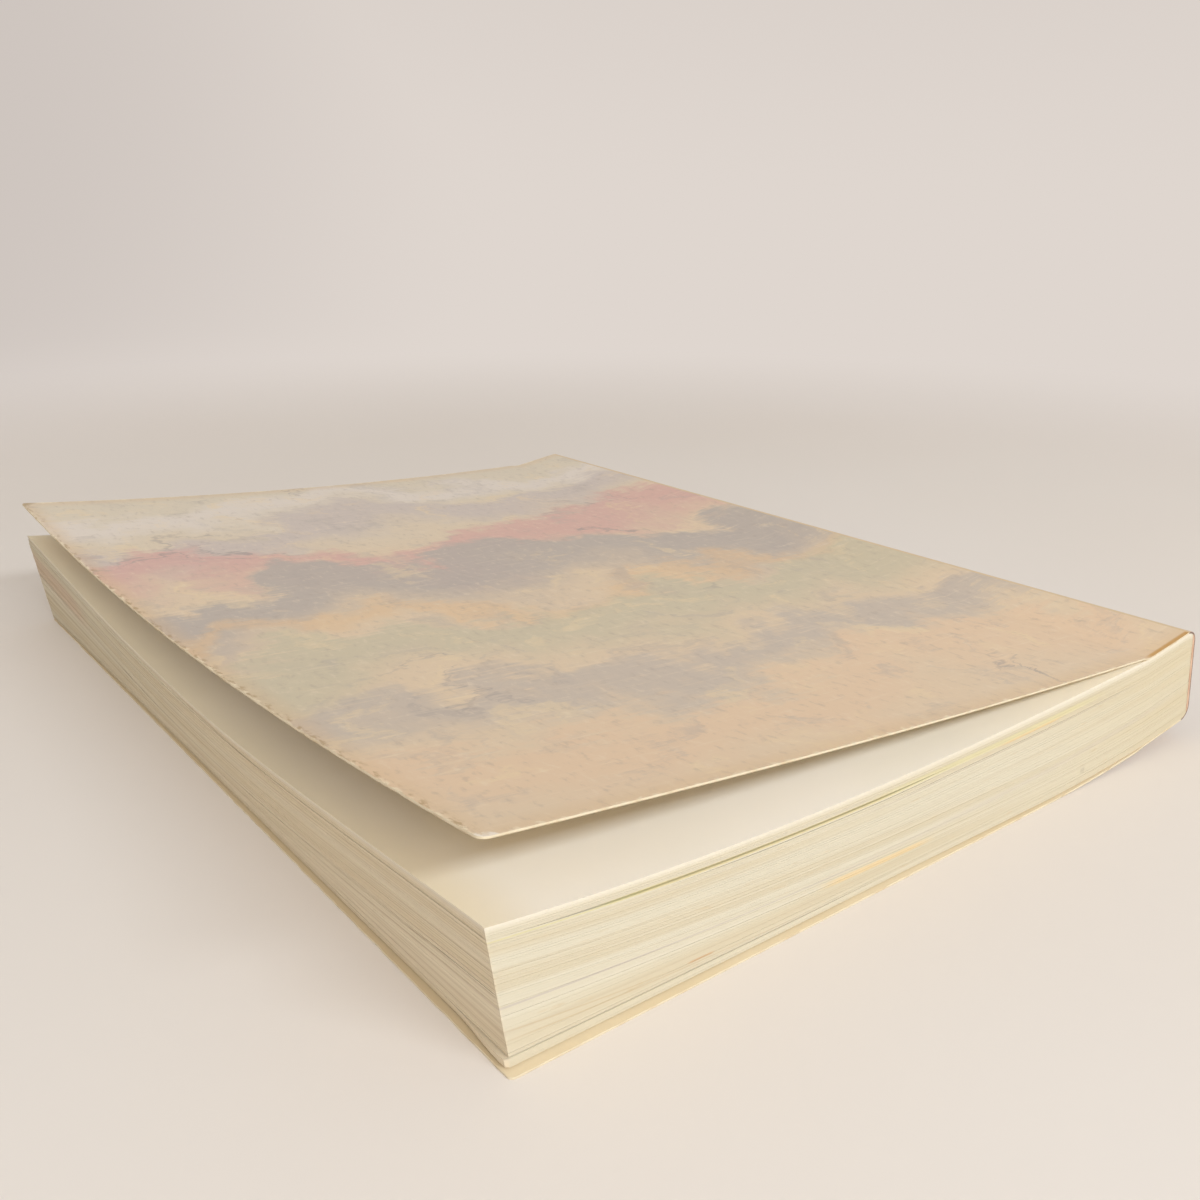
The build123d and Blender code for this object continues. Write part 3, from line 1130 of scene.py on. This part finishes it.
# %% The glue
glue_node = frame["nodes"]["binding_glue"]
glue_node.data.materials.clear()
glue_node.data.materials.append(binding_adhesive)
print("glue strip wears", binding_adhesive.name)

# %% [markdown]
# ## A pale studio
#
# A round sweep of paper: a flat floor that curves up into a low wall, a profile carried round
# a circle, so that it looks the same from any side. The light of the photo can be read off
# the shadow of the raised cover on the first page. Under the tail edge its rim is crisp, and
# along the fore edge it is soft, so the key light is a strip, long from side to side and
# narrow from top to bottom. It stands before the tail, about 36 degrees high. The shadow
# isn't black, because wide, warmer light comes from low in front and from the room.

# %% Sweep of paper
def sweep_finish():
    """Pale paper, faintly cloudy. Far from the book, a ray from the camera, or one mirrored or
    let through on its way, sees a steady pale glow instead, so that the horizon melts away.
    The glow dims towards the left of the photo and, less, with height, but not at the top."""
    paper = Finish("sweep_paper", roughness=0.95, specular=0.0)
    where, x, y, z = paper.whereabouts()
    cloud = paper.noise(where, scale=3.0)
    colour = paper.coats(paint(228, 219, 210), (cloud, 0.3, 0.7, (226, 216, 206)))
    paper.tree.links.new(colour, paper.shader.inputs["Base Color"])
    flat = paper.vector(x, y)
    out = paper.add("ShaderNodeVectorMath", {0: flat}, operation="LENGTH").outputs["Value"]
    far = paper.both(paper.soft(out, 0.26, 0.8), paper.seen())
    left = paper.sum("MULTIPLY_ADD", y, left_way[1], paper.sum("MULTIPLY", x, left_way[0]))
    dimmer = paper.sum("MAXIMUM", paper.soft(left, 0.1, 0.75, 0.9), paper.soft(z, 0.12, 0.5, 0.3))
    dimmer = paper.both(dimmer, paper.soft(z, 0.5, 0.4))
    tint = paper.coats(paint(*glow_tint), (dimmer, dim_tint))
    glow = paper.add("ShaderNodeEmission", {"Color": tint, "Strength": 1.0}).outputs[0]
    both = paper.add("ShaderNodeMixShader", {0: far, 1: paper.shader.outputs[0], 2: glow})
    paper.tree.links.new(both.outputs[0], paper.tree.nodes["Material Output"].inputs["Surface"])
    return paper.material


left_way = (-0.79, 0.61)
glow_tint, dim_tint = (223, 214, 207), (204, 195, 189)
floor_radius, bend_radius, wall_top = 1000.0, 400.0, 500.0
bend = np.linspace(0, np.pi / 2, 17)
flat_out, flat_up = np.linspace(0, floor_radius, 6), np.zeros(6)
bend_out, bend_up = floor_radius + bend_radius * np.sin(bend), bend_radius * (1 - np.cos(bend))
profile_out = np.concatenate([flat_out, bend_out, [floor_radius + bend_radius]])
profile_up = np.concatenate([flat_up, bend_up, [wall_top]])
turn, out = np.meshgrid(np.linspace(0, 2 * np.pi, 97), profile_out)
up = np.broadcast_to(profile_up[:, None], out.shape)
sweep_grid = np.stack([out * np.cos(turn), out * np.sin(turn), up], axis=-1)
sweep_points = flattened(sweep_grid)
sweep_numbers = [numbered(sweep_grid)]
sweep = make_piece("sweep", sweep_points, sweep_numbers, 0 * sweep_points, [sweep_finish()])


# %% Key light, wide light and room
def strip_lamp(name, size, energy, tint, place, towards):
    """An unseen lamp, width by height in metres, that shines along a direction: it is tilted
    from straight down, then turned by the compass."""
    light = bpy.data.lights.new(name, "AREA")
    light.shape = "RECTANGLE"
    light.size, light.size_y = size
    light.energy, light.color = energy, tint
    lamp = bpy.data.objects.new(name, light)
    lamp.location = place
    x, y, z = np.array(towards) / np.linalg.norm(towards)
    lamp.rotation_euler = (math.acos(-z), 0, math.atan2(y, x) - math.pi / 2)
    lamp.visible_camera = False
    scene.collection.objects.link(lamp)
    return light


cool, warm = (0.84, 0.92, 1.0), (1.0, 0.92, 0.82)
room_tint, room_strength = (1.0, 0.95, 0.89, 1.0), 0.56
key = strip_lamp("key", (1.8, 0.2), 24.5, cool, (-0.22, -1.38, 1.01), (0.22, 1.38, -1.01))
wide = strip_lamp("wide", (2.0, 0.55), 3.2, warm, (-0.25, -1.25, 0.42), (0.25, 1.25, -0.40))

world = bpy.data.worlds.new("room")
world.use_nodes = True
air = Nodes(world.node_tree)
room = air.tree.nodes["Background"]
room.inputs["Color"].default_value = room_tint
room.inputs["Strength"].default_value = room_strength
glow = air.add("ShaderNodeBackground", {"Color": paint(*glow_tint)})
choice = air.add("ShaderNodeMixShader", {0: air.seen(), 1: room.outputs[0], 2: glow.outputs[0]})
air.tree.links.new(choice.outputs[0], air.tree.nodes["World Output"].inputs["Surface"])
scene.world = world
scene.view_settings.view_transform = "Standard"
print("key", key.energy, "wide", round(wide.energy, 2), "room", room_strength)
